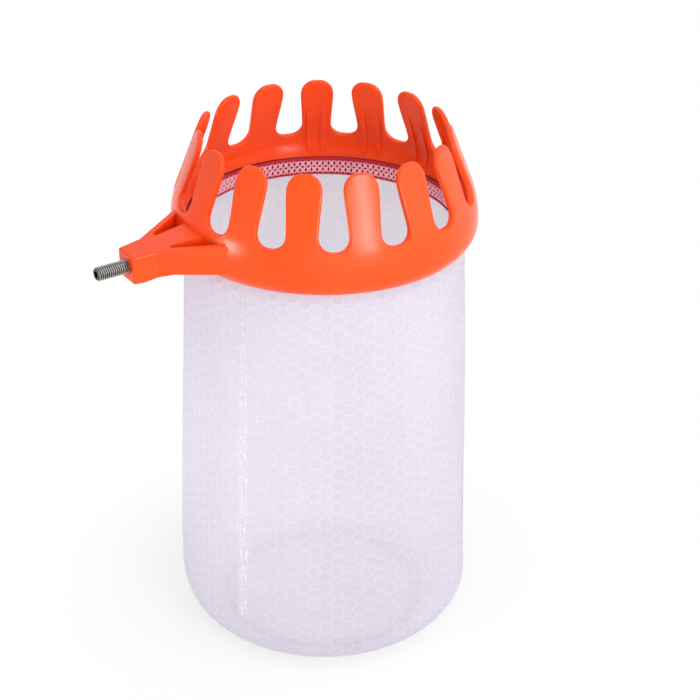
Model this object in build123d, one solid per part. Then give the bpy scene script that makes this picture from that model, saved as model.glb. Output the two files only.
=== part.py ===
"""Fruit picker head: a ring of plastic fingers with a mesh bag, screwed to a pole by one stud.

Millimetres, +Z up. The origin is where the stud leaves the boss, on the stud's axis. The stud
points along -X to the pole, and the ring's axis stands upright at x = ARM_REACH.
Heights with no other note are measured from the ring's lower edge.
"""
from build123d import *
from math import asin, atan2, cos, degrees, pi, radians, sin, tan
import os

# Finger ring
FINGER_COUNT = 15
RING_RADIUS = 90.0           # outside of the band at its widest
RING_HEIGHT = 65.2           # lower edge to finger tips
WIDEST_HEIGHT = 9.0          # where the band is widest
LOWER_EDGE_INSET = 4.0       # the lower edge is this much smaller in radius than the widest part
SHOULDER_RADIUS = 60.0       # round of the band above its widest part
FINGER_LEAN = 21.0           # degrees that the fingers lean inwards
BAND_WALL = 4.0
TIP_WALL = 3.0
LIP_HEIGHT = 2.2             # inward lip at the lower edge, under the hem
LIP_WIDTH = 6.3
LIP_FILLET = 1.5             # where the lip's top meets the wall
LIP_ROUND = 0.6              # the lip's inner edge
SKIRT_EDGE = 11.0            # lower edge of the skirt that curves in from the wall over the hem
SKIRT_FLARE = 27.0           # degrees off upright at that edge
SKIRT_EDGE_WALL = 1.3
SKIRT_ROOM = 15.5            # top of the hollow between skirt and wall
SKIRT_ROUND = 0.5
SLOT_FLOOR = 25.3            # height of the gaps' floor between fingers
SLOT_CORNER = 7.8            # round of the gaps' floor
NECK_WIDTH = 17.9            # finger at its narrowest
BLADE_WIDTH = 19.8           # finger at its widest
TIP_RISE = 9.6               # round end of a finger, above the place where it is widest
TIP_FLAT = 3.0               # straight part of a finger's tip
EDGE_ROUND = 1.2             # round of all finger edges

# Two stiffening ribs inside each finger opposite the arm
RIBBED_FINGERS = 6
RIB_WIDTH = 3.8
RIB_SPACING = 8.7
RIB_TOP = 52.0               # where a rib starts to rise out of the finger
RIB_FULL = 36.0              # where it has its full height
RIB_LOW = 17.5               # where it starts to fall back into the wall
RIB_FOOT = 13.5              # and where it ends
RIB_SINK = 1.4               # how deep it starts in the wall
RIB_PROUD = 1.4
RIB_ROUND = 1.1

# Arm and boss
ARM_REACH = 131.0            # ring axis to the boss's end face
STUD_HEIGHT = 10.7           # stud axis above the lower edge
BOSS_WIDTH = 17.0
BOSS_HEIGHT = 16.5
BOSS_LENGTH = 14.0           # straight part of the boss
BOSS_ROOT_WIDTH = 21.0       # boss where the arm starts to spread
ARM_SPREAD = 62.0            # width of the arm where it meets the ring
ARM_RING_TOP = 22.0          # arm's top where it meets the ring
ARM_RING_BOTTOM = 4.4
ARM_WAIST_BOTTOM = 5.2       # arm's underside just behind the boss
ARM_WAIST_RUN = 22.0         # distance of that waist from the boss's end face
STRUT_WALL = 4.0             # outer struts of the arm
RIB_BRIDGE_WIDTH = 15.5      # solid middle of the arm, at the pockets' narrow end
RIB_BRIDGE_ROOT_WIDTH = 21.5 # and at the ring
POCKET_START = 23.0          # pockets' narrow end from the boss's end face
POCKET_FLOOR = 3.0
ARM_ROUND = 1.4

# Threaded stud and its insert
STUD_DIAMETER = 8.0
THREAD_PITCH = 1.25
THREAD_DEPTH = 0.65
CREST_WIDTH = 0.25
STUD_EXPOSED = 18.5          # boss face to the stud's free end
SHANK_DIAMETER = 7.2         # buried part, drawn plain at the thread's middle diameter
SHANK_LENGTH = 14.0
STUD_CHAMFER = 0.7
SOCKET_FLATS = 4.0           # hexagon key socket in the free end
SOCKET_DEPTH = 4.5
SHANK_CLEARANCE = 0.05       # radial room of the shank in the insert
MOUTH_CLEARANCE = 0.4        # radial room around the stud in the boss's mouth and end room
INSERT_DIAMETER = 12.0
INSERT_LENGTH = 12.0
INSERT_SETBACK = 1.5         # insert's face behind the boss's end face
KNURL_COUNT = 24
KNURL_DEPTH = 0.3
STUD_END_ROOM = 1.0          # free room behind the stud in the boss

# Hem, with the wire hoop that keeps it round
HEM_GAP = 3.5                # ring's wall to the hem
HEM_THICKNESS = 4.8          # at the roll around the hoop
HEM_EDGE = 1.6               # thickness at its top edge
HEM_ROLL = 4.7               # height of the roll
HEM_HEIGHT = 9.5             # above the lip
HEM_DROP = 1.3               # the hem's inner part hangs this far below the top of the lip
HEM_LIP_GAP = 0.6            # lip to the hem's inner part
HEM_ROUND = 0.75
HEM_SKIRT_GAP = 0.6          # the skirt's edge to the hem
HOOP_WIRE = 2.5
HOOP_INSET = 2.1             # hem's outside to the wire's middle
HOOP_RISE = 2.3              # lip to the wire's middle
HOOP_JOINT_GAP = 1.0         # between the wire's two ends
SLEEVE_WALL = 0.6
SLEEVE_LENGTH = 14.0
EDGE_CORD = 1.6              # red cord sewn along the hem's two edges
EDGE_CORD_SINK = 0.5         # how deep the cords lie in the hem

# Bag
FABRIC = 0.8
BAG_DEPTH = 260.0            # lower edge of the ring to the bag's underside
BAG_NECK_INSET = 0.5         # bag's inside face behind the hem's inside face
BAG_SHOULDER_STEP = 0.5      # bag just under the ring, outside the hem
BAG_SHOULDER_DROP = 8.0
BAG_SWELL = 1.0              # bag at its widest, above the rounded bottom, outside the ring
BAG_CORNER = 26.0
BASE_SEAM_INSET = 1.5        # flat underside between the rounded edge and the base panel's seam
BASE_GAP = 0.3               # room between that panel and the wall
SEAM_WIDTH = 6.0             # tape along the side seam
SEAM_THICKNESS = 0.8
SEAM_ANGLE = 22.9            # degrees from the arm to the side seam, seen from above
SEAM_END_GAP = 6.0           # tape's ends stop short of the straight side's ends
BASE_TAPE_WIDTH = 5.0        # binding on the base panel's edge
BASE_TAPE_HEIGHT = 1.0

# Values that follow from the sizes above
PITCH_ANGLE = 360.0 / FINGER_COUNT
BLADE_HEIGHT = RING_HEIGHT - TIP_RISE
WALL_INNER = RING_RADIUS - BAND_WALL
HEM_OUTER = WALL_INNER - HEM_GAP
HEM_INNER = HEM_OUTER - HEM_THICKNESS
HEM_TOP = LIP_HEIGHT + HEM_HEIGHT
HEM_LOW = LIP_HEIGHT - HEM_DROP
LIP_RADIUS = WALL_INNER - LIP_WIDTH
BAG_SHOULDER_RADIUS = HEM_OUTER + BAG_SHOULDER_STEP
BAG_RADIUS = RING_RADIUS + BAG_SWELL
ROLL_TOP = LIP_HEIGHT + HEM_ROLL
HEM_SLOPE = (HEM_THICKNESS - HEM_EDGE) / (HEM_TOP - ROLL_TOP)
SKIRT_RADIUS = HEM_INNER + HEM_EDGE + HEM_SLOPE * (HEM_TOP - SKIRT_EDGE) + HEM_SKIRT_GAP
HOOP_RADIUS = HEM_OUTER - HOOP_INSET
HOOP_HEIGHT = LIP_HEIGHT + HOOP_RISE
STUD_RADIUS = STUD_DIAMETER / 2
BAG_NECK_OUTER = HEM_INNER + BAG_NECK_INSET + FABRIC
BASE_RADIUS = BAG_RADIUS - BAG_CORNER - BASE_SEAM_INSET


def placed(solid):
    """Ring frame (axis on Z, lower edge at z = 0) to the part's frame."""
    return Pos(ARM_REACH, 0, -STUD_HEIGHT) * solid


def turned(section, angle=360.0):
    """Section drawn in X-Z, turned about the ring's axis."""
    return revolve(section, Axis.Z, angle)


def outer_radius(height):
    """Outside of the ring's wall at a height above its widest part."""
    lean = radians(FINGER_LEAN)
    arc_top = WIDEST_HEIGHT + SHOULDER_RADIUS * sin(lean)
    if height <= arc_top:
        return RING_RADIUS - SHOULDER_RADIUS * (1 - cos(asin((height - WIDEST_HEIGHT) / SHOULDER_RADIUS)))
    return RING_RADIUS - SHOULDER_RADIUS * (1 - cos(lean)) - (height - arc_top) * tan(lean)


def wall_inside(height):
    """Inside of the plain wall: full wall up to the gaps' floor, thinner towards the tips."""
    share = max(0.0, (height - SLOT_FLOOR) / (RING_HEIGHT - SLOT_FLOOR))
    wall = BAND_WALL + (TIP_WALL - BAND_WALL) * share
    return outer_radius(height) - wall / cos(radians(FINGER_LEAN) * min(1.0, height / SLOT_FLOOR))


def inner_radius(height):
    """What shows inside the ring: the fingers, and under them the skirt that curves in over the hem."""
    if height >= SLOT_FLOOR:
        return wall_inside(height)
    span = SLOT_FLOOR - SKIRT_EDGE
    t = (SLOT_FLOOR - height) / span
    start, start_run = wall_inside(SLOT_FLOOR), span * tan(radians(FINGER_LEAN))
    end_run = -span * tan(radians(SKIRT_FLARE))
    blend = 3 * t ** 2 - 2 * t ** 3
    return (start + (SKIRT_RADIUS - start) * blend + start_run * (t ** 3 - 2 * t ** 2 + t)
            + end_run * (t ** 3 - t ** 2))


def ring_section():
    """Half section of the ring's wall, taller than the fingers, with the hem's lip and skirt."""
    top = RING_HEIGHT + 4.0
    lean = radians(FINGER_LEAN)
    arc_top = WIDEST_HEIGHT + SHOULDER_RADIUS * sin(lean)
    arc_mid = WIDEST_HEIGHT + SHOULDER_RADIUS * sin(lean / 2)
    low_bow = (WIDEST_HEIGHT ** 2 + LOWER_EDGE_INSET ** 2) / (2 * LOWER_EDGE_INSET)
    low_turn = asin(WIDEST_HEIGHT / low_bow) / 2
    low_mid = (RING_RADIUS - low_bow * (1 - cos(low_turn)), WIDEST_HEIGHT - low_bow * sin(low_turn))
    lower_edge = (RING_RADIUS - LOWER_EDGE_INSET, 0)
    widest = (RING_RADIUS, WIDEST_HEIGHT)
    skirt_steps = [SLOT_FLOOR - (SLOT_FLOOR - SKIRT_EDGE) * share for share in (0, 0.25, 0.5, 0.75, 1)]
    inside = [(inner_radius(h), h) for h in (top, SLOT_FLOOR + (RING_HEIGHT - SLOT_FLOOR) / 2, *skirt_steps)]
    skirt_edge = [inside[-1], (SKIRT_RADIUS + SKIRT_EDGE_WALL, SKIRT_EDGE)]
    hollow, lip_root = (WALL_INNER, SKIRT_ROOM), (WALL_INNER, LIP_HEIGHT)
    lip_edge = [(LIP_RADIUS, LIP_HEIGHT), (LIP_RADIUS, 0)]
    outline = [
        ThreePointArc(lower_edge, low_mid, widest),
        ThreePointArc(widest, (outer_radius(arc_mid), arc_mid), (outer_radius(arc_top), arc_top)),
        Line((outer_radius(arc_top), arc_top), (outer_radius(top), top)),
        Line((outer_radius(top), top), inside[0]),
        Spline(*inside, tangents=[(tan(lean), -1), (-tan(radians(SKIRT_FLARE)), -1)]),
        Polyline(*skirt_edge, hollow, lip_root, *lip_edge, lower_edge),
    ]
    section = make_face(outline)

    def corner(point):
        return section.vertices().sort_by_distance((*point, 0))[0]

    section = fillet([corner(hollow), corner(lip_root)], LIP_FILLET)
    section = fillet([corner(point) for point in skirt_edge], SKIRT_ROUND)
    section = fillet([corner(point) for point in lip_edge], LIP_ROUND)
    return Plane.XZ * section


def finger_outline():
    """One finger with half a gap on each side, seen from outside: across, up."""
    reach = RING_RADIUS * tan(radians(PITCH_ANGLE / 2)) + 2.0
    neck, blade, flat = NECK_WIDTH / 2, BLADE_WIDTH / 2, TIP_FLAT / 2
    corner_end = neck + SLOT_CORNER
    floor_end = SLOT_FLOOR + SLOT_CORNER
    mid_corner = SLOT_CORNER * (1 - cos(pi / 4))
    tip_rise = RING_HEIGHT - BLADE_HEIGHT
    right = [
        Line((reach, -1), (reach, SLOT_FLOOR)),
        Line((reach, SLOT_FLOOR), (corner_end, SLOT_FLOOR)),
        ThreePointArc((corner_end, SLOT_FLOOR), (neck + mid_corner, SLOT_FLOOR + mid_corner),
                      (neck, floor_end)),
        Spline((neck, floor_end), (blade, BLADE_HEIGHT), tangents=[(0, 1), (0, 1)]),
        EllipticalCenterArc((flat, BLADE_HEIGHT), blade - flat, tip_rise, start_angle=0, arc_size=90),
    ]
    left = [edge.mirror(Plane.YZ) for edge in right]
    ends = [Line((flat, RING_HEIGHT), (-flat, RING_HEIGHT)), Line((-reach, -1), (reach, -1))]
    return make_face(right + left + ends)


def finger_ribs():
    """The two ribs inside the finger that points along +X: they rise out of it and fall back above the hem."""
    middle = (SLOT_FLOOR + RIB_LOW) / 2
    steps = [(RIB_TOP, -0.2), ((RIB_TOP + RIB_FULL) / 2, RIB_PROUD / 2), (RIB_FULL, RIB_PROUD),
             (SLOT_FLOOR, RIB_PROUD), (middle, RIB_PROUD), (RIB_LOW, RIB_PROUD), (RIB_FOOT, -0.2)]
    crest = [(inner_radius(height) - proud, height) for height, proud in steps]
    back = [(inner_radius(height) + RIB_SINK, height)
            for height in (RIB_FOOT, RIB_LOW, middle, SLOT_FLOOR, RIB_TOP)]
    side = make_face([Spline(*crest), Polyline(crest[-1], *back, crest[0])])
    blank = extrude(Plane.XZ * side, RIB_WIDTH / 2, both=True)
    front = blank.faces().sort_by(Axis.X)[0]
    rib = fillet(front.edges().filter_by(lambda edge: abs(edge.tangent_at(0.5).Y) < 0.5), RIB_ROUND)
    return [Pos(0, way * RIB_SPACING / 2, 0) * rib for way in (-1, 1)]


def ring_sector(ribbed):
    """Wall and finger of one pitch, about +X, with the finger's edges rounded and its ribs if it has any."""
    half = PITCH_ANGLE / 2
    wall = Rot(0, 0, -half) * turned(ring_section(), PITCH_ANGLE)
    looking_in = Plane(origin=(0, 0, 0), x_dir=(0, 1, 0), z_dir=(1, 0, 0))
    blade = wall & extrude(looking_in * finger_outline(), RING_RADIUS + 5.0)

    def on_finger_edge(edge):
        middle = edge @ 0.5
        spread = abs(degrees(atan2(middle.Y, middle.X)))
        across_wall = abs(edge.tangent_at(0.5).X) > 0.9
        return middle.Z > SLOT_FLOOR - 0.5 and spread < half - 0.01 and not across_wall

    rounded = fillet(blade.edges().filter_by(on_finger_edge), EDGE_ROUND)
    return rounded.fuse(*finger_ribs()) if ribbed else rounded


def arm():
    """Y-shaped arm along -X with its boss, two pockets and the stud's seat, in the ring's frame."""
    face_x = -ARM_REACH
    boss_low = STUD_HEIGHT - BOSS_HEIGHT / 2
    boss_top = STUD_HEIGHT + BOSS_HEIGHT / 2
    spread_x = face_x + BOSS_LENGTH
    waist_x = face_x + ARM_WAIST_RUN
    pocket_x = face_x + POCKET_START
    root_half = ARM_SPREAD / 2
    ring_x = -(RING_RADIUS ** 2 - root_half ** 2) ** 0.5 + BAND_WALL / 2

    plan_half = [(face_x, BOSS_WIDTH / 2), (spread_x, BOSS_ROOT_WIDTH / 2), (ring_x, root_half)]
    plan = Polyline(*plan_half, *[(x, -y) for x, y in reversed(plan_half)], close=True)
    side = [
        (face_x, boss_low), (face_x, boss_top), (ring_x, ARM_RING_TOP), (ring_x, ARM_RING_BOTTOM),
        (waist_x, ARM_WAIST_BOTTOM), (spread_x - BOSS_LENGTH / 2, boss_low),
    ]
    tall = extrude(make_face(plan), ARM_RING_TOP + 5.0)
    body = tall & extrude(Plane.XZ * make_face(Polyline(*side, close=True)), ARM_SPREAD, both=True)
    seen = body.edges().filter_by(lambda edge: (edge @ 0.5).X < ring_x - 0.5)
    body = fillet(seen, ARM_ROUND)

    slope = (root_half - BOSS_ROOT_WIDTH / 2) / (ring_x - spread_x)
    strut_offset = STRUT_WALL * (1 + slope ** 2) ** 0.5

    def strut_inside(x):
        return BOSS_ROOT_WIDTH / 2 + slope * (x - spread_x) - strut_offset

    floor = ARM_WAIST_BOTTOM + POCKET_FLOOR
    for way in (-1, 1):
        corners = [
            (pocket_x, way * RIB_BRIDGE_WIDTH / 2), (pocket_x, way * strut_inside(pocket_x)),
            (ring_x, way * strut_inside(ring_x)), (ring_x, way * RIB_BRIDGE_ROOT_WIDTH / 2),
        ]
        pocket = Polyline(*corners, close=True)
        body -= Pos(0, 0, floor) * extrude(make_face(pocket), ARM_RING_TOP)
    return body


def stud_seat():
    """What is hollowed out of the boss, from its end face: mouth, insert's seat and end room."""
    depth = max(SHANK_LENGTH + STUD_END_ROOM, INSERT_SETBACK + INSERT_LENGTH)
    bore = upright(STUD_RADIUS + MOUTH_CLEARANCE, depth)
    return along_stud(bore) + insert_blank()


def upright(radius, length):
    """Cylinder standing on z = 0."""
    return Cylinder(radius, length, align=(Align.CENTER, Align.CENTER, Align.MIN))


def along_stud(solid):
    """Solid drawn up +Z, laid along +X from the boss's end face, in the part's frame."""
    return Rot(0, 90, 0) * solid


def insert_blank():
    """Knurled outside of the insert, solid, in the part's frame."""
    blank = Pos(0, 0, INSERT_SETBACK) * upright(INSERT_DIAMETER / 2, INSERT_LENGTH)
    groove = Pos(INSERT_DIAMETER / 2, 0, INSERT_SETBACK + INSERT_LENGTH / 2) * (
        Rot(0, 0, 45) * Box(KNURL_DEPTH * 1.414, KNURL_DEPTH * 1.414, INSERT_LENGTH + 1))
    return along_stud(blank - PolarLocations(0, KNURL_COUNT) * groove)


def finger_ring():
    """The whole moulding: ring of sectors, arm and the stud's seat."""
    plain, ribbed = ring_sector(False), ring_sector(True)
    first_ribbed = (FINGER_COUNT - RIBBED_FINGERS + 1) // 2
    ribbed_range = range(first_ribbed, first_ribbed + RIBBED_FINGERS)
    sectors = [Rot(0, 0, 180.0 + PITCH_ANGLE * i) * (ribbed if i in ribbed_range else plain)
               for i in range(FINGER_COUNT)]
    ring = sectors[0].fuse(*sectors[1:])
    inside = [(0, -5), (WALL_INNER + 1.0, -5)] + [
        (wall_inside(h) + 1.0, h) for h in (WIDEST_HEIGHT, SLOT_FLOOR)] + [(0, SLOT_FLOOR)]
    cavity = turned(Plane.XZ * make_face(Polyline(*inside, close=True)))
    moulding = ring.fuse(arm() - cavity)
    return placed(moulding) - stud_seat()


def pole_stud():
    """Set screw: ridged where it shows, plain in the insert, hexagon socket in the free end."""
    root, shank = STUD_RADIUS - THREAD_DEPTH, SHANK_DIAMETER / 2
    length = STUD_EXPOSED + SHANK_LENGTH
    flank = (THREAD_PITCH - 2 * CREST_WIDTH) / 2
    grooves = int((STUD_EXPOSED - STUD_CHAMFER - CREST_WIDTH) / THREAD_PITCH)
    first = STUD_EXPOSED - grooves * THREAD_PITCH
    profile = [(0, 0), (STUD_RADIUS - STUD_CHAMFER, 0), (STUD_RADIUS, STUD_CHAMFER)]
    for i in range(grooves):
        crest = first + i * THREAD_PITCH
        profile += [(STUD_RADIUS, crest), (root, crest + flank), (root, crest + flank + CREST_WIDTH),
                    (STUD_RADIUS, crest + 2 * flank + CREST_WIDTH)]
    profile += [(STUD_RADIUS, STUD_EXPOSED), (shank, STUD_EXPOSED), (shank, length - STUD_CHAMFER),
                (shank - STUD_CHAMFER, length), (0, length)]
    screw = revolve(Plane.XZ * make_face(Polyline(*profile, close=True)), Axis.Z)
    socket = extrude(RegularPolygon(SOCKET_FLATS / 2, 6, major_radius=False), SOCKET_DEPTH)
    return Pos(-STUD_EXPOSED, 0, 0) * along_stud(screw - socket)


def stud_insert():
    """Knurled brass insert with the shank's bore."""
    bore = upright(SHANK_DIAMETER / 2 + SHANK_CLEARANCE, INSERT_SETBACK + INSERT_LENGTH + 1.0)
    return insert_blank() - along_stud(bore)


def hoop_ring(radius, angle=360.0):
    """Round bar of one radius along the hoop's circle, starting at +X."""
    return turned(Plane.XZ * (Pos(HOOP_RADIUS, HOOP_HEIGHT) * Circle(radius)), angle)


def hoop_parts():
    """Wire hoop, open at one place, and the crimped sleeve that joins its ends."""
    gap = degrees(HOOP_JOINT_GAP / HOOP_RADIUS)
    sleeve_turn = degrees(SLEEVE_LENGTH / HOOP_RADIUS)
    wire = Rot(0, 0, gap / 2) * hoop_ring(HOOP_WIRE / 2, 360.0 - gap)
    barrel = Rot(0, 0, -sleeve_turn / 2) * hoop_ring(HOOP_WIRE / 2 + SLEEVE_WALL, sleeve_turn)
    return wire, barrel - wire


def edge_cord(height):
    """Cord along the hem's inside face at one height."""
    centre = HEM_INNER + EDGE_CORD_SINK - EDGE_CORD / 2
    return turned(Plane.XZ * (Pos(centre, height) * Circle(EDGE_CORD / 2)))


def hem_band(hoop, sleeve, cords):
    """Hem rolled around the hoop: the roll rests on the lip, and its inner part hangs past the lip."""
    inner_edge = LIP_RADIUS - HEM_LIP_GAP
    outline = [
        (HEM_INNER, HEM_LOW), (inner_edge, HEM_LOW), (inner_edge, LIP_HEIGHT), (HEM_OUTER, LIP_HEIGHT),
        (HEM_OUTER, ROLL_TOP), (HEM_INNER + HEM_EDGE, HEM_TOP), (HEM_INNER, HEM_TOP),
    ]
    section = Plane.XZ * make_face(Polyline(*outline, close=True))
    upper = [v for v in section.vertices() if v.Z > ROLL_TOP - 0.01]
    rolled = turned(fillet(upper, HEM_ROUND))
    return rolled.cut(hoop, sleeve, *cords)


def bag_side_radius(height, inset):
    """Bag's straight side at a height below the ring, moved in by inset."""
    low = BAG_CORNER - BAG_DEPTH
    share = (height + BAG_SHOULDER_DROP) / (low + BAG_SHOULDER_DROP)
    return BAG_SHOULDER_RADIUS + (BAG_RADIUS - BAG_SHOULDER_RADIUS) * share - inset


def bag_outline(inset):
    """Bag's wall from the hem to the base panel, moved in by inset, as joined edges."""
    low = BAG_CORNER - BAG_DEPTH
    lean = atan2(BAG_RADIUS - BAG_SHOULDER_RADIUS, -low - BAG_SHOULDER_DROP)
    corner = BAG_CORNER - inset
    centre = (BAG_RADIUS - BAG_CORNER, low)
    shoulder = (BAG_SHOULDER_RADIUS - inset, -BAG_SHOULDER_DROP)
    neck = (BAG_NECK_OUTER - inset, 0)
    turn_mid = (centre[0] + corner * cos(pi / 4), centre[1] - corner * sin(pi / 4))
    return [
        Line((BAG_NECK_OUTER - inset, HEM_LOW), neck),
        Spline(neck, shoulder, tangents=[(0, -1), (sin(lean), -cos(lean))]),
        Line(shoulder, (centre[0] + corner, low)),
        ThreePointArc((centre[0] + corner, low), turn_mid, (centre[0], low - corner)),
        Line((centre[0], low - corner), (BASE_RADIUS, low - corner)),
    ]


def bag_wall():
    """Mesh tube with a rounded lower edge, open above and below."""
    outside, inside = bag_outline(0.0), bag_outline(FABRIC)
    ends = [Line(outside[0] @ 0, inside[0] @ 0), Line(outside[-1] @ 1, inside[-1] @ 1)]
    return turned(Plane.XZ * make_face(outside + inside + ends))


def side_seam():
    """Tape inside the bag along its side seam."""
    top = -BAG_SHOULDER_DROP - SEAM_END_GAP
    low = BAG_CORNER - BAG_DEPTH + SEAM_END_GAP
    depth = FABRIC + SEAM_THICKNESS
    strip = Polyline(
        (bag_side_radius(top, FABRIC), top), (bag_side_radius(low, FABRIC), low),
        (bag_side_radius(low, depth), low), (bag_side_radius(top, depth), top), close=True)
    turn = degrees(SEAM_WIDTH / BAG_RADIUS)
    return Rot(0, 0, 180.0 + SEAM_ANGLE - turn / 2) * turned(Plane.XZ * make_face(strip), turn)


def bag_bottom():
    """Round mesh panel in the underside."""
    return Pos(0, 0, -BAG_DEPTH) * upright(BASE_RADIUS - BASE_GAP, FABRIC)


def bottom_seam():
    """Binding sewn round the base panel's edge, inside the bag."""
    outer = BASE_RADIUS - BASE_GAP
    tape = Circle(outer) - Circle(outer - BASE_TAPE_WIDTH)
    return Pos(0, 0, FABRIC - BAG_DEPTH) * extrude(tape, BASE_TAPE_HEIGHT)


def parts():
    """Every piece by its node name, in the part's frame."""
    hoop, sleeve = hoop_parts()
    cord_rise = EDGE_CORD / 2
    top_cord = edge_cord(HEM_TOP - cord_rise)
    low_cord = edge_cord(HEM_LOW + cord_rise)
    in_ring_frame = {
        "hem_hoop": hoop,
        "hoop_sleeve": sleeve,
        "hem_band": hem_band(hoop, sleeve, (top_cord, low_cord)),
        "hem_top_cord": top_cord,
        "hem_lower_cord": low_cord,
        "bag_wall": bag_wall(),
        "side_seam": side_seam(),
        "bag_bottom": bag_bottom(),
        "bottom_seam": bottom_seam(),
    }
    pieces = {"finger_ring": finger_ring(), "pole_stud": pole_stud(), "stud_insert": stud_insert()}
    pieces.update({name: placed(solid) for name, solid in in_ring_frame.items()})
    return pieces


os.makedirs("parts", exist_ok=True)
for name, solid in parts().items():
    export_step(solid, f"parts/{name}.step")
    box = solid.bounding_box()
    print(f"{name}: {solid.volume / 1000:.1f} cm3, {box.size.X:.1f} x {box.size.Y:.1f} x {box.size.Z:.1f} mm")
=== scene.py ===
# %% [markdown]
# # A fruit picker head
# Fifteen plastic fingers comb a fruit off its stalk, and the mesh bag under them catches it.
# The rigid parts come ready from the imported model. This lesson lights them, gives them their finishes,
# and builds what a solid model can't show: screw thread, stitches, twisted cord and honeycomb mesh.

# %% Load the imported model
import bmesh
import bpy
from math import ceil, cos, pi, radians, sin, sqrt, tau
from mathutils import Matrix, Quaternion, Vector


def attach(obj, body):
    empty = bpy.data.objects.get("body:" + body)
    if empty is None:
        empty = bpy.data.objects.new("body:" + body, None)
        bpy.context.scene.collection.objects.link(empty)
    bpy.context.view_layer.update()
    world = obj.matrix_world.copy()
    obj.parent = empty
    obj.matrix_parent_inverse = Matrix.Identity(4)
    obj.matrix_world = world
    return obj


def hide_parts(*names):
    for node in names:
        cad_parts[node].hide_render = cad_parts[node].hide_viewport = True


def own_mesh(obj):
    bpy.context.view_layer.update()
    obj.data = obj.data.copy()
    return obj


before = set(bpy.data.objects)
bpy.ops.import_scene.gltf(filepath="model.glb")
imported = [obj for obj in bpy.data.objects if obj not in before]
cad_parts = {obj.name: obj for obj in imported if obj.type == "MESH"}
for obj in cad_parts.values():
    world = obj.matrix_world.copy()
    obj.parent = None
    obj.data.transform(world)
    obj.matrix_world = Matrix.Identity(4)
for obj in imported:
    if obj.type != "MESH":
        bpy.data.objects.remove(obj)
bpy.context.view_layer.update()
scene = bpy.context.scene
scene.view_settings.view_transform = "Standard"
print("nodes:", ", ".join(sorted(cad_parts)))

# %% [markdown]
# ## Camera
# The picture was taken from the front left and a little above, with a long lens, so the ring shows as an ellipse.
# One could place the camera by eye. Here its place was fitted to the fifteen fingertips, because a camera that is
# right lets every later difference be read as a difference in shape.

# %% Camera
CAMERA_PLACE, CAMERA_LOOK, CAMERA_ROLL = (-0.4004, -0.8013, 0.4421), Vector((0.4947, 0.7204, -0.4862)), 0.46
LENS, SENSOR = 92.57, 36

camera = bpy.data.objects.new("camera", bpy.data.cameras.new("camera"))
scene.collection.objects.link(camera)
camera.data.lens, camera.data.sensor_width = LENS, SENSOR
camera.data.clip_start = 0.01
turn = CAMERA_LOOK.to_track_quat("-Z", "Y") @ Quaternion((0, 0, 1), radians(CAMERA_ROLL))
camera.matrix_world = Matrix.Translation(CAMERA_PLACE) @ turn.to_matrix().to_4x4()
scene.camera = camera
print("camera lens", camera.data.lens, "mm")

# %% [markdown]
# ## Node helpers
# A material is a small network. Adding each node by hand takes three lines, so helpers shorten that: one adds a node
# and sets its inputs, one starts a material and hands back its main shader, and three make what every finish here
# needs, a colour between two, a range moved to another and a little relief.


# %% Node helpers
def add(tree, kind, settings=None, **inputs):
    """Adds a node. settings are its own properties, inputs its sockets' values or the sockets to link."""
    node = tree.nodes.new("ShaderNode" + kind)
    for name, value in (settings or {}).items():
        setattr(node, name, value)
    for name, value in inputs.items():
        socket = node.inputs[int(name[1:])] if name[1:].isdigit() else node.inputs[name.replace("_", " ")]
        if isinstance(value, bpy.types.NodeSocket):
            tree.links.new(value, socket)
        else:
            socket.default_value = value
    return node


def start_finish(name, **sockets):
    """A new material with its shader's plain values set."""
    finish = bpy.data.materials.new(name)
    finish.use_nodes = True
    shader = finish.node_tree.nodes["Principled BSDF"]
    for socket, value in sockets.items():
        shader.inputs[socket.replace("_", " ")].default_value = value
    return finish, finish.node_tree, shader


def blend_colours(tree, share, first, second):
    """A colour between two, by a share from 0 to 1."""
    mix = add(tree, "Mix", {"data_type": "RGBA"}, _0=share)
    mix.inputs[6].default_value, mix.inputs[7].default_value = (*first, 1), (*second, 1)
    return mix.outputs[2]


def spread(tree, value, low, high, to_low, to_high):
    """A value's range moved to another range."""
    return add(tree, "MapRange", Value=value, From_Min=low, From_Max=high, To_Min=to_low, To_Max=to_high).outputs[0]


def link_bump(tree, shader, height, distance, strength=1.0):
    """Small relief from a height value."""
    bump = add(tree, "Bump", Height=height, Distance=distance, Strength=strength)
    tree.links.new(bump.outputs[0], shader.inputs["Normal"])


print("helpers ready")

# %% [markdown]
# ## Lamps
# One lamp would leave half the object dark, and many strong ones would bleach it. So a large soft lamp to the right of
# the camera lights the outside and the inside of the ring, a narrow one in front gives the highlight on the front
# fingers, and weaker ones fill from the right, from above and near the floor. The lamp on the left has a narrow
# beam: the bag is bright on that side, but the ring isn't.

# %% Lamps
RING_AXIS = Vector((0.131, 0, 0))


def soft_lamp(name, place, aim_level, width, height, watts, beam=180):
    """An area lamp that looks at the ring's axis. A narrow beam, in degrees, lights only what lies straight ahead."""
    lamp = bpy.data.lights.new(name, "AREA")
    lamp.shape, lamp.size, lamp.size_y, lamp.energy = "RECTANGLE", width, height, watts
    lamp.spread = radians(beam)
    holder = bpy.data.objects.new(name, lamp)
    scene.collection.objects.link(holder)
    holder.location = place
    aim = RING_AXIS + Vector((0, 0, aim_level))
    holder.rotation_euler = (aim - holder.location).to_track_quat("-Z", "Y").to_euler()


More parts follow.
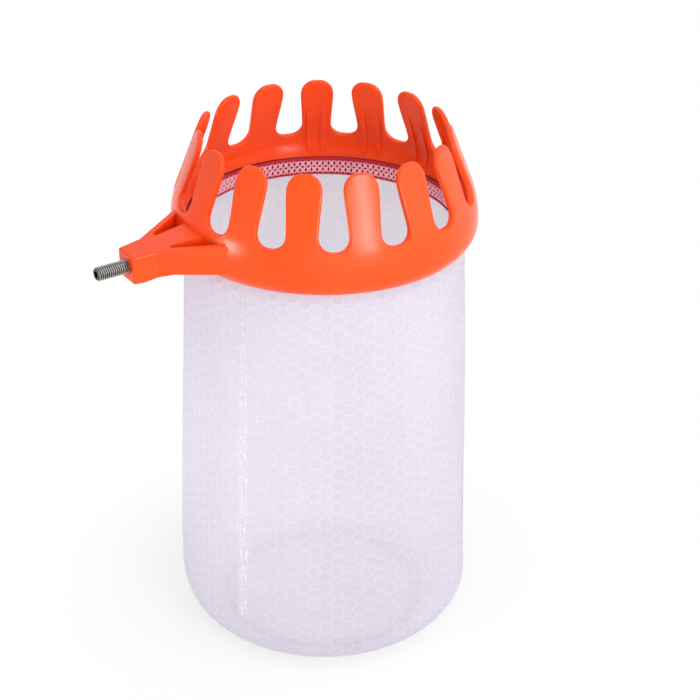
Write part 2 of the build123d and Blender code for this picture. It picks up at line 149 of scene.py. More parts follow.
soft_lamp("key", (0.70, -1.00, 0.60), 0.02, width=1.4, height=1.1, watts=2.2)
soft_lamp("strip", (0.06, -1.15, 0.28), 0.0, width=0.22, height=0.4, watts=5.0)
soft_lamp("left", (-1.00, 0.30, -0.13), -0.14, width=0.5, height=0.20, watts=0.32, beam=24)
soft_lamp("right", (1.2, -0.6, 0.2), -0.15, width=1.6, height=0.9, watts=2.2)
soft_lamp("foot", (0.0, -1.05, 0.0), -0.22, width=1.6, height=0.5, watts=2.3)
soft_lamp("top", (0.15, -0.50, 1.2), 0.0, width=1.3, height=1.3, watts=8.0)
print("lamps:", ", ".join(lamp.name for lamp in bpy.data.lights))

# %% [markdown]
# ## White surroundings
# The picture has a white ground. Enough light to make it white would bleach the object too, so the world has two
# levels: plain white where it is seen, straight on or in a reflection, and dimmer where it lights the object.

# %% White surroundings
WORLD_LIGHT, WORLD_SEEN = 0.55, 1.0


def seen_directly(tree):
    """1 for rays from the camera, a reflection or glass, 0 for rays that carry light to the object."""
    path = add(tree, "LightPath").outputs
    seen = add(tree, "Math", {"operation": "MAXIMUM"}, _0=path["Is Camera Ray"], _1=path["Is Glossy Ray"]).outputs[0]
    return add(tree, "Math", {"operation": "MAXIMUM"}, _0=seen, _1=path["Is Transmission Ray"]).outputs[0]


world = bpy.data.worlds.new("studio")
scene.world = world
world.use_nodes = True
sky = world.node_tree
level = spread(sky, seen_directly(sky), 0, 1, WORLD_LIGHT, WORLD_SEEN)
sky.links.new(level, sky.nodes["Background"].inputs["Strength"])
sky.nodes["Background"].inputs["Color"].default_value = (1, 1, 1, 1)
print("world light", WORLD_LIGHT)

# %% [markdown]
# ## Floor
# The bag stands on white, with hardly a shadow. A white floor would turn grey away from the lamps, so where it is seen
# it is mostly plain white: a trace of the shadow stays near the object and fades out further off.

# %% Floor
FLOOR_LEVEL, FLOOR_HALF = -0.2711, 4.0
SHADOW_NEAR, SHADOW_FAR, LEAST_WHITE = 0.06, 0.20, 0.65

floor_middle = RING_AXIS + Vector((0, 0, FLOOR_LEVEL))
floor_bm = bmesh.new()
bmesh.ops.create_grid(floor_bm, x_segments=8, y_segments=8, size=FLOOR_HALF, matrix=Matrix.Translation(floor_middle))
floor_mesh = bpy.data.meshes.new("floor")
floor_bm.to_mesh(floor_mesh)
floor_bm.free()
floor = bpy.data.objects.new("floor", floor_mesh)
scene.collection.objects.link(floor)
floor_finish, tree, shader = start_finish("floor_white", Base_Color=(0.86, 0.86, 0.86, 1), Roughness=0.9)
place = add(tree, "TexCoord").outputs["Object"]
away = add(tree, "VectorMath", {"operation": "DISTANCE"}, _0=place, _1=floor_middle).outputs["Value"]
fade = add(tree, "MapRange", {"interpolation_type": "SMOOTHSTEP"}, Value=away, From_Min=SHADOW_NEAR,
           From_Max=SHADOW_FAR, To_Min=LEAST_WHITE).outputs[0]
fade = add(tree, "Math", {"operation": "MULTIPLY"}, _0=fade, _1=seen_directly(tree)).outputs[0]
white = add(tree, "Emission", Strength=1.0)
both = add(tree, "MixShader", _0=fade, _1=shader.outputs[0], _2=white.outputs[0])
tree.links.new(both.outputs[0], tree.nodes["Material Output"].inputs["Surface"])
floor_mesh.materials.append(floor_finish)
print("floor at", FLOOR_LEVEL, "m")

# %% [markdown]
# ## Orange plastic
# The ring, its fingers and the forked arm are one glossy moulding. Plain orange would look like paint, so the
# colour drifts a little as it does where plastic flowed into the mould, the gloss is uneven with handling marks,
# and a very fine grain breaks the highlight.

# %% Orange plastic
DEEP_ORANGE, BRIGHT_ORANGE = (0.92, 0.066, 0.005), (0.95, 0.080, 0.008)

plastic, tree, shader = start_finish("orange_plastic", Specular_IOR_Level=0.23, Subsurface_Weight=0.25,
                                     Subsurface_Radius=(1.0, 0.3, 0.1), Subsurface_Scale=0.004)
place = add(tree, "TexCoord").outputs["Object"]
flow = add(tree, "TexNoise", Vector=place, Scale=14.0, Detail=3.0, Roughness=0.55).outputs["Fac"]
colour = blend_colours(tree, spread(tree, flow, 0.3, 0.7, 0, 1), DEEP_ORANGE, BRIGHT_ORANGE)
tree.links.new(colour, shader.inputs["Base Color"])
marks = add(tree, "TexNoise", Vector=place, Scale=45.0, Detail=5.0, Roughness=0.6).outputs["Fac"]
tree.links.new(spread(tree, marks, 0.3, 0.7, 0.17, 0.26), shader.inputs["Roughness"])
grain = add(tree, "TexNoise", Vector=place, Scale=1500.0, Detail=1.0).outputs["Fac"]
link_bump(tree, shader, grain, 0.00003)


def dress(node, finish):
    """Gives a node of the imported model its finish."""
    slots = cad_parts[node].data.materials
    slots.clear()
    slots.append(finish)


dress("finger_ring", plastic)
print("dressed finger_ring")

# %% [markdown]
# ## Metals
# The stud is stainless steel: bright on its crests, and dull and dark in its roots, where shade is painted into its
# colour.
# Its axis is the model's X axis, so the distance from that axis tells crest from root. The insert is brass, and the
# hoop in the hem is spring wire with drawn streaks along it.


# %% Metals
def metal(name, light, dark, rough, stretch):
    """A metal with fine streaks. rough is its roughness from streak to streak, stretch the streaks' direction."""
    finish, tree, shader = start_finish(name, Metallic=1.0)
    place = add(tree, "TexCoord").outputs["Object"]
    stretched = add(tree, "Mapping", Vector=place, Scale=stretch).outputs[0]
    streaks = add(tree, "TexNoise", Vector=stretched, Scale=900.0, Detail=3.0).outputs["Fac"]
    tree.links.new(blend_colours(tree, streaks, dark, light), shader.inputs["Base Color"])
    tree.links.new(spread(tree, streaks, 0.3, 0.7, *rough), shader.inputs["Roughness"])
    link_bump(tree, shader, streaks, 0.00001)
    return finish


brass = metal("insert_brass", (0.83, 0.60, 0.25), (0.60, 0.38, 0.13), rough=(0.28, 0.42), stretch=(1, 1, 1))
wire = metal("hoop_wire", (0.62, 0.62, 0.60), (0.42, 0.41, 0.40), rough=(0.25, 0.4), stretch=(1, 1, 6))
dress("stud_insert", brass)
dress("hem_hoop", wire)
dress("hoop_sleeve", wire)
print("dressed stud_insert, hem_hoop, hoop_sleeve")

# %% Steel with painted shade in its roots
# Painted shade: the steel's colour is darkened within DARK_RADIUS of the stud's axis, in the thread's roots.
DARK_RADIUS, BRIGHT_RADIUS, PAINTED_ROOT_SHADE = 0.0034, 0.0039, (0.16, 0.15, 0.14)

steel = metal("stud_steel", (0.58, 0.55, 0.52), (0.38, 0.36, 0.34), rough=(0.20, 0.34), stretch=(0.3, 1, 1))
tree, shader = steel.node_tree, steel.node_tree.nodes["Principled BSDF"]
place = add(tree, "TexCoord").outputs["Object"]
across = add(tree, "VectorMath", {"operation": "MULTIPLY"}, _0=place, _1=(0, 1, 1)).outputs[0]
radius = add(tree, "VectorMath", {"operation": "LENGTH"}, _0=across).outputs["Value"]
bare = shader.inputs["Base Color"].links[0].from_socket
crest = spread(tree, radius, DARK_RADIUS, BRIGHT_RADIUS, 0, 1)
painted_shade = add(tree, "Mix", {"data_type": "RGBA", "blend_type": "MULTIPLY"}, _0=1.0)
tree.links.new(bare, painted_shade.inputs[6])
tree.links.new(blend_colours(tree, crest, PAINTED_ROOT_SHADE, (1, 1, 1)), painted_shade.inputs[7])
tree.links.new(painted_shade.outputs[2], shader.inputs["Base Color"])
print("steel, dark within a radius of", DARK_RADIUS, "m")

# %% [markdown]
# ## Making a piece
# Every new piece ends the same way: its normals are set, its mesh gets an object at the origin, its finish and its
# body. One helper does that, so that each later cell is only about the shape. Others cut a shape off, copy it in a
# row, turn an outline into a hoop, and give a cloth its thickness.


# %% Making a piece
def make_piece(name, bm, finishes, body, merge=1e-6):
    """Makes a finished shape an object of the scene that rides on a body."""
    bmesh.ops.remove_doubles(bm, verts=bm.verts[:], dist=merge)
    bmesh.ops.recalc_face_normals(bm, faces=bm.faces[:])
    for face in bm.faces:
        face.smooth = True
    mesh = bpy.data.meshes.new(name)
    bm.to_mesh(mesh)
    bm.free()
    for finish in finishes:
        mesh.materials.append(finish)
    piece = bpy.data.objects.new(name, mesh)
    scene.collection.objects.link(piece)
    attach(piece, body)
    print(name, len(mesh.polygons), "faces")
    return piece


def everything(bm):
    """All the points, edges and faces of a shape."""
    return bm.verts[:] + bm.edges[:] + bm.faces[:]


def cut_off(bm, point, direction):
    """Removes what lies beyond a plane."""
    bmesh.ops.bisect_plane(bm, geom=everything(bm), dist=1e-7, plane_co=point, plane_no=direction, clear_outer=True)


def repeat(bm, count, step):
    """Copies all that is there, in a row."""
    bmesh.ops.spin(bm, geom=everything(bm), angle=0, steps=count - 1, dvec=step, axis=(0, 0, 1), cent=(0, 0, 0),
                   use_duplicate=True)


def spin_hoop(corners, steps):
    """Spins a closed outline, given by its corners, once round the ring's axis."""
    bm = bmesh.new()
    corners = [bm.verts.new(corner) for corner in corners]
    for first, second in zip(corners, corners[1:] + corners[:1]):
        bm.edges.new((first, second))
    bmesh.ops.spin(bm, geom=bm.verts[:] + bm.edges[:], cent=RING_AXIS, axis=(0, 0, 1), angle=tau, steps=steps,
                   use_merge=True)
    return bm


def thicken(piece, thickness):
    """Gives a cloth its thickness, inwards."""
    thick = piece.modifiers.new("thickness", "SOLIDIFY")
    thick.thickness, thick.offset = thickness, -1


print("piece helpers ready")

# %% [markdown]
# ## Threaded stud
# The pole screws onto an M8 set screw. Rings of ridges pass for a thread from far off, but a real thread is one
# helix, and it shows at the ends. So one tooth's outline is spun round the axis while it moves along it,
# the ends are cut square and chamfered, and the free end gets its hexagon key socket.

# %% The stud's thread
PITCH, CREST, ROOT = 0.00125, 0.0040, 0.00335
FREE_END, THREAD_STOP, CHAMFER = -0.0185, 0.0012, 0.0007
STEPS = 24
turns = ceil((THREAD_STOP - FREE_END) / PITCH) + 2

bm = bmesh.new()
# A share of the pitch and a radius for each corner of the tooth
tooth = [(0.0, ROOT), (0.2, ROOT), (0.52, CREST), (0.66, CREST), (1.0, ROOT)]
dots = [bm.verts.new((FREE_END + (share - 1.5) * PITCH, radius, 0)) for share, radius in tooth]
for first, second in zip(dots, dots[1:]):
    bm.edges.new((first, second))
bmesh.ops.spin(bm, geom=bm.verts[:] + bm.edges[:], cent=(0, 0, 0), axis=(1, 0, 0), angle=tau * turns,
               steps=STEPS * turns, dvec=(PITCH / STEPS, 0, 0))
bmesh.ops.remove_doubles(bm, verts=bm.verts[:], dist=1e-6)
cut_off(bm, (FREE_END, 0, 0), (-1, 0, 0))
cut_off(bm, (THREAD_STOP, 0, 0), (1, 0, 0))
for vert in bm.verts:
    reach = min(CREST - CHAMFER + vert.co.x - FREE_END, ROOT + THREAD_STOP - vert.co.x)
    radius = vert.co.yz.length
    if radius > reach:
        vert.co.yz *= reach / radius
print("thread of", turns, "turns before it is cut")

# %% The stud's socket and shank
SHANK_END, SHANK_RADIUS = 0.0140, 0.00355
KEY_FLATS, KEY_DEPTH, DRILL_POINT = 0.0040, 0.0045, 0.0008


def open_rim(bm, level):
    """The open edges in one plane across X."""
    return [e for e in bm.edges if e.is_boundary and all(abs(v.co.x - level) < 1e-6 for v in e.verts)]


def draw_rim(bm, rim, level, radius_at):
    """Extrudes an open rim to another level and radius."""
    made = bmesh.ops.extrude_edge_only(bm, edges=rim)["geom"]
    for vert in (item for item in made if isinstance(item, bmesh.types.BMVert)):
        across = vert.co.yz
        vert.co.yz = across.normalized() * radius_at(across)
        vert.co.x = level
    return [item for item in made if isinstance(item, bmesh.types.BMEdge)]


def hexagon(across):
    """The key socket's radius in a direction across the axis."""
    turn = across.angle_signed(Vector((1, 0))) % (pi / 3) - pi / 6
    return KEY_FLATS / 2 / cos(turn)


rim = draw_rim(bm, open_rim(bm, FREE_END), FREE_END, hexagon)
rim = draw_rim(bm, rim, FREE_END + KEY_DEPTH, hexagon)
tip = FREE_END + KEY_DEPTH + DRILL_POINT
drill = draw_rim(bm, rim, tip, lambda across: 1e-5)
bmesh.ops.pointmerge(bm, verts=list({v for e in drill for v in e.verts}), merge_co=(tip, 0, 0))
rim = draw_rim(bm, open_rim(bm, THREAD_STOP), THREAD_STOP, lambda across: SHANK_RADIUS)
rim = draw_rim(bm, rim, SHANK_END - CHAMFER, lambda across: SHANK_RADIUS)
rim = draw_rim(bm, rim, SHANK_END, lambda across: SHANK_RADIUS - CHAMFER)
bmesh.ops.contextual_create(bm, geom=rim)
stud = make_piece("threaded_stud", bm, [steel], "stud")
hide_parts("pole_stud")
stud.data.set_sharp_from_angle(angle=radians(35))

# %% [markdown]
# ## Made flat, then bent round
# The hem's stitches, its cords and the bag's mesh all run round the ring. Each is easiest to make flat or straight,
# as a sewer would, and is then bent round by moving its points: the way along becomes an angle. The cloth's side
# seam is where the two ends meet.

# %% Bending round the ring
RING_BASE = -0.0107
SEAM_FROM_ARM = 22.9
SEAM_TURN = radians(180 + SEAM_FROM_ARM)


def on_ring(angle, radius, height):
    """A point by its angle round the ring's axis, radius, and height over the ring's lower edge."""
    return Vector((RING_AXIS.x + radius * cos(angle), radius * sin(angle), RING_BASE + height))


def bend_round(bm, radius, length):
    """Bends a strip that runs along X, with Z up, into a hoop. Y points to the ring's axis."""
    for vert in bm.verts:
        along, inward, height = vert.co
        vert.co = on_ring(SEAM_TURN + along / length * tau, radius - inward, height)


print("seam %.1f degrees from the arm" % SEAM_FROM_ARM)

# %% [markdown]
# ## Cloth and thread finishes
# Thread and cloth scatter light softly. Their colour varies from fibre to fibre, so a fine noise drives colour,
# roughness and relief together. A little sheen gives the pale edge that fibres show.


# %% Cloth and thread finishes
def thread_finish(name, light, dark, scale, depth, sheen=0.25, solid=1.0):
    """A cloth or thread. scale is how fine its fibres are, depth their relief, solid how much of it hides."""
    finish, tree, shader = start_finish(name, Sheen_Weight=sheen, Sheen_Roughness=0.5, Specular_IOR_Level=0.3,
                                        Alpha=solid)
    place = add(tree, "TexCoord").outputs["Object"]
    fibres = add(tree, "TexNoise", Vector=place, Scale=scale, Detail=4.0, Roughness=0.65).outputs["Fac"]
    shade = spread(tree, fibres, 0.32, 0.68, 0, 1)
    tree.links.new(blend_colours(tree, shade, dark, light), shader.inputs["Base Color"])
    tree.links.new(spread(tree, fibres, 0.3, 0.7, 0.85, 0.6), shader.inputs["Roughness"])
    link_bump(tree, shader, fibres, depth)
    return finish


CLOTH_GRAIN, THREAD_GRAIN, TAPE_GRAIN = 1800.0, 2600.0, 1500.0
hem_cloth = thread_finish("hem_cloth", (0.46, 0.024, 0.060), (0.26, 0.010, 0.028), CLOTH_GRAIN, depth=0.0002)
hem_thread = thread_finish("hem_thread", (0.98, 0.62, 0.69), (0.94, 0.42, 0.52), THREAD_GRAIN, depth=0.0001)
hem_cord = thread_finish("hem_cord", (0.66, 0.012, 0.045), (0.44, 0.006, 0.024), THREAD_GRAIN, depth=0.0001)
seam_thread = thread_finish("seam_thread", (0.795, 0.77, 0.84), (0.765, 0.74, 0.81), THREAD_GRAIN, depth=0.00003,
                            sheen=0.1)
seam_tape = thread_finish("seam_tape", (0.95, 0.93, 0.98), (0.90, 0.88, 0.94), TAPE_GRAIN, depth=0.00015, sheen=0.1,
                          solid=0.45)
print("five cloth finishes")

# %% [markdown]
# ## Rolled hem
# The bag's top edge is rolled round a wire hoop, and a flat oversewn edge stands up from the roll. It is spun from its
# outline, with rounded edges. The roll rests on the ring's inner lip, so fruit in the bag only seats it more firmly.

# %% Rolled hem
HEM_INNER, HEM_STEP, HEM_EDGE, HEM_OUTER = 0.0777, 0.0791, 0.0793, 0.0825
HEM_LOW, HEM_SEAT, ROLL_TOP, HEM_TOP = 0.0009, 0.0022, 0.0069, 0.0117
HEM_ROUND = 0.0005

outline = [(HEM_INNER, HEM_LOW), (HEM_STEP, HEM_LOW), (HEM_STEP, HEM_SEAT), (HEM_OUTER, HEM_SEAT),
           (HEM_OUTER, ROLL_TOP), (HEM_EDGE, HEM_TOP), (HEM_INNER, HEM_TOP)]
bm = spin_hoop([on_ring(0, radius, height) for radius, height in outline], steps=180)
bmesh.ops.remove_doubles(bm, verts=bm.verts[:], dist=1e-6)
bmesh.ops.recalc_face_normals(bm, faces=bm.faces[:])
# The edges that run round the axis
rounded = [e for e in bm.edges if abs(e.verts[0].co.z - e.verts[1].co.z) < 1e-6
           and abs((e.verts[0].co - RING_AXIS).xy.length - (e.verts[1].co - RING_AXIS).xy.length) < 1e-6]
bmesh.ops.bevel(bm, geom=rounded, offset=HEM_ROUND, segments=3, profile=0.5, affect="EDGES", material=-1)
hem = make_piece("hem_roll", bm, [hem_cloth], "head")
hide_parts("hem_band")

# %% [markdown]
# ## Oversewn stitches
# Two rows of crossed stitches run along the hem's face, in pale pink thread on the dark cloth, which shows through
# as rows of small dark diamonds. A printed pattern would look flat here, so each stitch is a short arch of thread:
# a hexagon drawn along a path, thin at its ends, where it dips into the cloth. One repeat is made and copied.

# %% One stitch
ARCH_PARTS, SUNK_SHARE, END_SHARE = 5, 0.25, 0.45


def thread_arch(bm, start, end, out, proud, thickness):
    """One stitch from start to end that stands out of the cloth in the middle."""
    run = end - start
    turn = run.to_track_quat("Z", "Y").to_matrix().to_4x4()
    ring = bmesh.ops.create_circle(bm, segments=6, radius=1.0, matrix=turn)["verts"]
    offsets = [vert.co.copy() for vert in ring]
    edges = list({e for v in ring for e in v.link_edges})
    bmesh.ops.contextual_create(bm, geom=edges)
    for part in range(ARCH_PARTS + 1):
        share = part / ARCH_PARTS
        swell = sin(pi * share)
        middle = start + run * share + out * (proud * swell - thickness * SUNK_SHARE)
        size = thickness / 2 * (END_SHARE + (1 - END_SHARE) * sqrt(max(swell, 0)))
        if part:
            made = bmesh.ops.extrude_edge_only(bm, edges=edges)["geom"]
            edges = [item for item in made if isinstance(item, bmesh.types.BMEdge)]
            ring = [item for item in made if isinstance(item, bmesh.types.BMVert)]
        for vert, offset in zip(ring, offsets):
            vert.co = middle + offset * size
    bmesh.ops.contextual_create(bm, geom=edges)


print("stitches of", ARCH_PARTS, "parts")

# %% Oversewn stitches
HEM_LENGTH = tau * HEM_INNER
REPEATS = 68
REPEAT = HEM_LENGTH / REPEATS
STITCH_ROWS = ((0.0018, 0.0064), (0.0060, 0.0107))
STITCH_THICK, UNDER_PROUD, OVER_PROUD = 0.0015, 0.0004, 0.0008

bm = bmesh.new()
inward = Vector((0, 1, 0))
for low, high in STITCH_ROWS:
    for begin in (0.0, 0.5):
        a, b = begin * REPEAT, (begin + 0.5) * REPEAT
        thread_arch(bm, Vector((a, 0, low)), Vector((b, 0, high)), inward, UNDER_PROUD, STITCH_THICK)
        thread_arch(bm, Vector((a, 0, high)), Vector((b, 0, low)), inward, OVER_PROUD, STITCH_THICK)
repeat(bm, REPEATS, (REPEAT, 0, 0))
bend_round(bm, HEM_INNER, HEM_LENGTH)
hem_stitches = make_piece("hem_stitches", bm, [hem_thread], "head", merge=1e-8)

# %% [markdown]
# ## Twisted cords
# A dark red cord edges the hem above and below. A plain tube would do from a distance; close to, a cord is two
# strands laid round each other. Each strand is a circle spun once round the cord's line while it moves along it.
# That turn is copied in a row, and the straight cord is bent into a hoop that closes on itself.

# %% Twisted cords
CORD_RADIUS, CORD_HOOP = 0.0008, 0.0774
STRAND_OFFSET, STRAND_RADIUS = CORD_RADIUS * 0.48, CORD_RADIUS * 0.54
CORD_LENGTH = tau * CORD_HOOP
LAYS, LAY_STEPS = 120, 8
TOP_CORD_HEIGHT, LOWER_CORD_HEIGHT = 0.0110, 0.0016


def twisted_cord(name, node, height):
    """A cord of two strands, bent into a hoop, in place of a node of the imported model."""
    bm = bmesh.new()
    for side in (-1, 1):
        turn = Matrix.Translation((0, side * STRAND_OFFSET, 0)) @ Matrix.Rotation(pi / 2, 4, "Y")
        strand = bmesh.ops.create_circle(bm, segments=7, radius=STRAND_RADIUS, matrix=turn)["verts"]
        edges = list({e for v in strand for e in v.link_edges})
        bmesh.ops.spin(bm, geom=strand + edges, cent=(0, 0, 0), axis=(1, 0, 0), angle=tau, steps=LAY_STEPS,
                       dvec=(CORD_LENGTH / LAYS / LAY_STEPS, 0, 0))
    repeat(bm, LAYS, (CORD_LENGTH / LAYS, 0, 0))
    for vert in bm.verts:
        vert.co.z += height
    bend_round(bm, CORD_HOOP, CORD_LENGTH)
    cord = make_piece(name, bm, [hem_cord], "head", merge=2e-6)
    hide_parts(node)
    return cord


top_cord = twisted_cord("top_cord", "hem_top_cord", TOP_CORD_HEIGHT)
lower_cord = twisted_cord("lower_cord", "hem_lower_cord", LOWER_CORD_HEIGHT)

# %% [markdown]
# ## Honeycomb mesh finishes
# The bag is pale polyester mesh: whitish threads in a honeycomb, with a fine knit between them that lets some light
# through. The threads are modelled, so the finish has two parts, thread and knit, given to different faces.


# %% Honeycomb mesh finishes
def mesh_finish(name, light, dark, solid):
    """Knitted mesh. solid is how much of it hides what lies behind."""
    finish, tree, shader = start_finish(name, Sheen_Weight=0.15, Sheen_Roughness=0.4, Alpha=solid)
    flat = add(tree, "UVMap").outputs[0]
    cloud = add(tree, "TexNoise", Vector=flat, Scale=24.0, Detail=3.0).outputs["Fac"]
    columns, rows = (add(tree, "TexWave", {"bands_direction": way}, Vector=flat, Scale=260.0).outputs["Fac"]
                     for way in "XY")
    knit = add(tree, "Math", {"operation": "MULTIPLY"}, _0=columns, _1=rows).outputs[0]
    shade = add(tree, "Math", {"operation": "MULTIPLY_ADD"}, _0=knit, _1=0.3,
                _2=spread(tree, cloud, 0.3, 0.7, 0.1, 0.7)).outputs[0]
    tree.links.new(blend_colours(tree, shade, dark, light), shader.inputs["Base Color"])
    tree.links.new(spread(tree, knit, 0, 1, 0.75, 0.5), shader.inputs["Roughness"])
    link_bump(tree, shader, knit, 0.00012)
    return finish


mesh_thread = mesh_finish("mesh_thread", (0.72, 0.68, 0.78), (0.68, 0.64, 0.745), solid=0.42)
mesh_knit = mesh_finish("mesh_knit", (0.705, 0.665, 0.765), (0.665, 0.625, 0.73), solid=0.38)
print("two mesh finishes")

# %% [markdown]
# ## The bag's wall
# A flat sheet of honeycomb is made first: two hexagons, each with a sunken middle, copied into rows and columns.
# Its edges are cut straight and it is laid on the bag's form: a neck under the hem, long sides that widen a little,
# and a rounded lower edge. The cloth is slack, so soft upright folds are added as it is laid on.

# %% The bag's form
COLUMNS, CLOTH_RADIUS = 84, 0.0870
CLOTH_WIDTH = tau * CLOTH_RADIUS
COLUMN_WIDTH = CLOTH_WIDTH / COLUMNS
CELL_SIDE = COLUMN_WIDTH / 1.5
CELL_HEIGHT = sqrt(3) * CELL_SIDE
LINE_HALF, LINE_PROUD, MESH_THICK = 0.0005, 0.00012, 0.0004
NECK, SHOULDER, WIDEST = Vector((0.0790, 0.0)), Vector((0.0830, -0.008)), Vector((0.0910, -0.234))
CORNER, BASE_SEAM = 0.026, 0.0635
SIDE = WIDEST - SHOULDER
NECK_RUN, SHOULDER_RUN, SIDE_RUN, CORNER_RUN = HEM_LOW, 0.0090, SIDE.length, CORNER * pi / 2
BASE_RUN = WIDEST.x - CORNER - BASE_SEAM
CLOTH_LENGTH = NECK_RUN + SHOULDER_RUN + SIDE_RUN + CORNER_RUN + BASE_RUN


def ease(value, low, high):
    """A soft step from 0 to 1."""
    share = min(1.0, max(0.0, (value - low) / (high - low)))
    return share * share * (3 - 2 * share)


def bag_form(run):
    """Radius, height and outward direction at a way down the cloth from the hem."""
    run -= NECK_RUN
    if run < 0:
        return NECK.x, -run, 1.0, 0.0
    if run < SHOULDER_RUN:
        share = run / SHOULDER_RUN
        out = Vector((-SHOULDER.y, (SHOULDER.x - NECK.x) * 6 * share * (1 - share))).normalized()
        return NECK.x + (SHOULDER.x - NECK.x) * ease(share, 0, 1), SHOULDER.y * share, out.x, out.y
    run -= SHOULDER_RUN
    if run < SIDE_RUN:
        place = SHOULDER + SIDE * (run / SIDE_RUN)
        return place.x, place.y, -SIDE.y / SIDE_RUN, SIDE.x / SIDE_RUN
    run -= SIDE_RUN
    centre = WIDEST.x - CORNER
    if run < CORNER_RUN:
        angle = run / CORNER
        return centre + CORNER * cos(angle), WIDEST.y - CORNER * sin(angle), cos(angle), -sin(angle)
    return centre - (run - CORNER_RUN), WIDEST.y - CORNER, 0.0, -1.0


print("cloth %.0f by %.0f mm" % (CLOTH_WIDTH * 1000, CLOTH_LENGTH * 1000))

# %% The bag's slack
# Waves over the cloth: size, how many round the bag, how much they turn on the way down, and where they start
FOLDS = ((0.0006, 5, 0, 1.1), (0.0005, 9, 14, 0.4), (0.0003, 14, -20, 0))
PULL_DOWN = ((0.0007, 11, 95, 0), (0.0006, 23, -160, 1.3))
PULL_ROUND = ((0.006, 3, 120, 0), (0.005, -7, 210, 0.7))


def waves(table, angle, run):
    """The waves of one table, added up at a point of the cloth."""
    return sum(size * sin(count * angle + turn * run + start) for size, count, turn, start in table)


def slack(angle, run):
    """How far the cloth stands out of its form: soft folds that die out at the hem and the base."""
    return ease(run, 0.01, 0.06) * (1 - ease(run, 0.21, 0.26)) * waves(FOLDS, angle, run)


def lay_on_bag(angle, run, lift):
    """A point of the cloth on the bag. Its cells are pulled a little out of line, as in any knit that hangs."""
    pull = ease(run, 0.0, 0.03) * (1 - ease(run, 0.24, 0.27))
    run += pull * waves(PULL_DOWN, angle, run)
    angle += pull * waves(PULL_ROUND, angle, run)
    radius, height, out_radius, out_height = bag_form(run)
    lift += slack(angle, run)
    return on_ring(angle, radius + out_radius * lift, height + out_height * lift)


print(len(FOLDS), "sets of folds")


# %% The bag's wall
def honeycomb(columns, rows):
    """A flat sheet of hexagons from the origin along X and Y, threads raised over sunken cells."""
    bm = bmesh.new()
    for column in (0, 1):
        place = Matrix.Translation((column * COLUMN_WIDTH, column * CELL_HEIGHT / 2, 0))
        bmesh.ops.create_circle(bm, cap_ends=True, segments=6, radius=CELL_SIDE,
                                matrix=place @ Matrix.Rotation(pi / 6, 4, "Z"))
    cells = bm.faces[:]
    bmesh.ops.inset_individual(bm, faces=cells, thickness=LINE_HALF, depth=-LINE_PROUD, use_even_offset=True)
    for cell in cells:
        cell.material_index = 1
    repeat(bm, rows, (0, CELL_HEIGHT, 0))
    repeat(bm, columns // 2, (2 * COLUMN_WIDTH, 0, 0))
    bmesh.ops.remove_doubles(bm, verts=bm.verts[:], dist=2e-5)
    return bm


def keep_flat_map(bm):
    """Writes where each point lies in the flat cloth, in metres, as the UV map."""
    flat = bm.loops.layers.uv.new("UVMap")
    for face in bm.faces:
        for loop in face.loops:
            loop[flat].uv = loop.vert.co.xy


bm = honeycomb(COLUMNS, ceil(CLOTH_LENGTH / CELL_HEIGHT) + 2)
# The sheet starts within its first row, so that its cut edge is closed
for vert in bm.verts:
    vert.co.y -= CELL_HEIGHT * 0.75
cut_off(bm, (0, 0, 0), (0, -1, 0))
cut_off(bm, (0, CLOTH_LENGTH, 0), (0, 1, 0))
keep_flat_map(bm)
for vert in bm.verts:
    along, run, lift = vert.co
    vert.co = lay_on_bag(SEAM_TURN - along / CLOTH_WIDTH * tau, run, lift)
wall = make_piece("bag_cloth", bm, [mesh_thread, mesh_knit], "head", merge=2e-5)
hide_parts("bag_wall")
thicken(wall, MESH_THICK)

# %% [markdown]
# ## Side seam
# The cloth's two edges are joined down one side. Inside lies a flat tape, and outside a narrow row of stitches.
# The tape is a grid laid on the bag's form, and the stitches are the hem's arches again, in pale thread.

# %% Side seam
TAPE_HALF, TAPE_TOP, TAPE_LOW = 0.003, -0.014, -0.228
TAPE_LIFT, TAPE_THICKNESS = -0.0008, 0.0006
PUCKER, PUCKER_STEP = 0.00015, 0.004


def run_at(height):
    """The way down the cloth to a height on the bag's side."""
    share = (height - SHOULDER.y) / SIDE.y
    return NECK_RUN + SHOULDER_RUN + share * SIDE_RUN


bm = bmesh.new()
bmesh.ops.create_grid(bm, x_segments=6, y_segments=66, size=1.0)
for vert in bm.verts:
    across, share, _ = vert.co
    run = run_at(TAPE_TOP) + (share + 1) / 2 * (run_at(TAPE_LOW) - run_at(TAPE_TOP))
    pucker = PUCKER * sin(run * tau / PUCKER_STEP) * across * across
    vert.co = lay_on_bag(SEAM_TURN + across * TAPE_HALF / CLOTH_RADIUS, run, TAPE_LIFT + pucker)
tape = make_piece("side_seam_tape", bm, [seam_tape], "head")
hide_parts("side_seam")
thicken(tape, TAPE_THICKNESS)

# %% Side seam's stitches
STITCH_STEP, ROW_HALF = 0.0035, 0.0004
STITCH_LENGTH = STITCH_STEP * 0.92
SEAM_PROUD, SEAM_THREAD = 0.0002, 0.0004
seam_top, seam_low = run_at(-0.010), run_at(-0.230)

bm = bmesh.new()
for row in (-ROW_HALF, ROW_HALF):
    thread_arch(bm, Vector((0, row, 0)), Vector((STITCH_LENGTH, row, 0)), Vector((0, 0, 1)), SEAM_PROUD, SEAM_THREAD)
repeat(bm, int((seam_low - seam_top) / STITCH_STEP), (STITCH_STEP, 0, 0))
for vert in bm.verts:
    along, across, lift = vert.co
    vert.co = lay_on_bag(SEAM_TURN + across / CLOTH_RADIUS, seam_top + along, lift)
seam_stitches = make_piece("side_seam_stitches", bm, [seam_thread], "head", merge=1e-8)

# %% [markdown]
# ## Base panel
# A round panel closes the bag below. It is cut from the same honeycomb: the flat sheet is trimmed by planes all round
# until a disc is left. A binding covers its edge inside, and stitches join it to the wall.

# %% Base panel
PANEL_RADIUS, PANEL_LEVEL, PANEL_SLACK = 0.0632, -0.260, 0.0003
TRIMS = 72

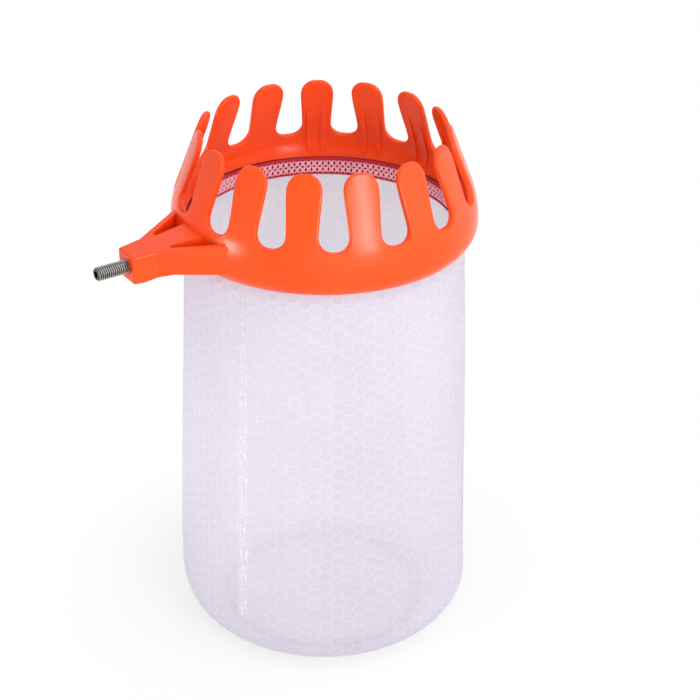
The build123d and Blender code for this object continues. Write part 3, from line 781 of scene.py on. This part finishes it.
panel_columns = 2 * ceil(PANEL_RADIUS / COLUMN_WIDTH) + 2
bm = honeycomb(panel_columns, ceil(PANEL_RADIUS * 2 / CELL_HEIGHT) + 2)
middle = Vector((panel_columns / 2 * COLUMN_WIDTH, PANEL_RADIUS + CELL_HEIGHT, 0))
for vert in bm.verts:
    vert.co -= middle
for trim in range(TRIMS):
    edge = Vector((cos(tau * trim / TRIMS), sin(tau * trim / TRIMS), 0))
    cut_off(bm, edge * PANEL_RADIUS * cos(pi / TRIMS), edge)
keep_flat_map(bm)
for vert in bm.verts:
    along, across, lift = vert.co
    away = vert.co.xy.length / PANEL_RADIUS
    rise = PANEL_SLACK * sin(3 * along / PANEL_RADIUS + 0.5) * sin(4 * across / PANEL_RADIUS) * (1 - away * away)
    vert.co = RING_AXIS + Vector((along, -across, RING_BASE + PANEL_LEVEL - lift - LINE_PROUD + abs(rise)))
panel = make_piece("base_panel", bm, [mesh_thread, mesh_knit], "bag_base", merge=1e-7)
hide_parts("bag_bottom")
thicken(panel, MESH_THICK)

# %% Base binding
BIND_INNER, BIND_LOW, BIND_TOP = PANEL_RADIUS - 0.005, PANEL_LEVEL + 0.0009, PANEL_LEVEL + 0.0018
BIND_SLANT, BIND_DROP = 0.0006, 0.0002

outline = [(BIND_INNER, BIND_LOW), (PANEL_RADIUS, BIND_LOW), (PANEL_RADIUS, BIND_TOP - BIND_DROP),
           (PANEL_RADIUS - BIND_SLANT, BIND_TOP), (BIND_INNER + BIND_SLANT, BIND_TOP),
           (BIND_INNER, BIND_TOP - BIND_DROP)]
bm = spin_hoop([on_ring(0, radius, height) for radius, height in outline], steps=120)
binding = make_piece("base_binding", bm, [seam_tape], "bag_base")
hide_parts("bottom_seam")

# %% Base stitches
BASE_STITCHES, BASE_PROUD, BASE_THREAD = 84, 0.0003, 0.0007
# From and to, past the panel's edge, at what height, and on which side
ABOVE, BELOW = (-0.0041, -0.0009, BIND_TOP, 1), (-0.0015, 0.0021, PANEL_LEVEL + 0.0003, -1)

bm = bmesh.new()
step = tau / BASE_STITCHES
for inner, outer, level, out in (ABOVE, BELOW):
    ends = [on_ring(step * 0.5 * i, PANEL_RADIUS + (inner if i % 2 else outer), level) for i in range(3)]
    for start, end in zip(ends, ends[1:]):
        thread_arch(bm, start, end, Vector((0, 0, out)), BASE_PROUD, BASE_THREAD)
bmesh.ops.spin(bm, geom=everything(bm), cent=RING_AXIS, axis=(0, 0, 1), angle=tau - step, steps=BASE_STITCHES - 1,
               use_duplicate=True)
base_stitches = make_piece("base_stitches", bm, [seam_thread], "bag_base", merge=1e-8)

# %% [markdown]
# ## The soft parts' own meshes
# An empty bag folds up towards the ring. Its base travels with its own body, and the wall, its tape and its stitches
# each get a mesh of their own.

# %% The soft parts' own meshes
for soft in (wall, tape, seam_stitches):
    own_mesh(soft)
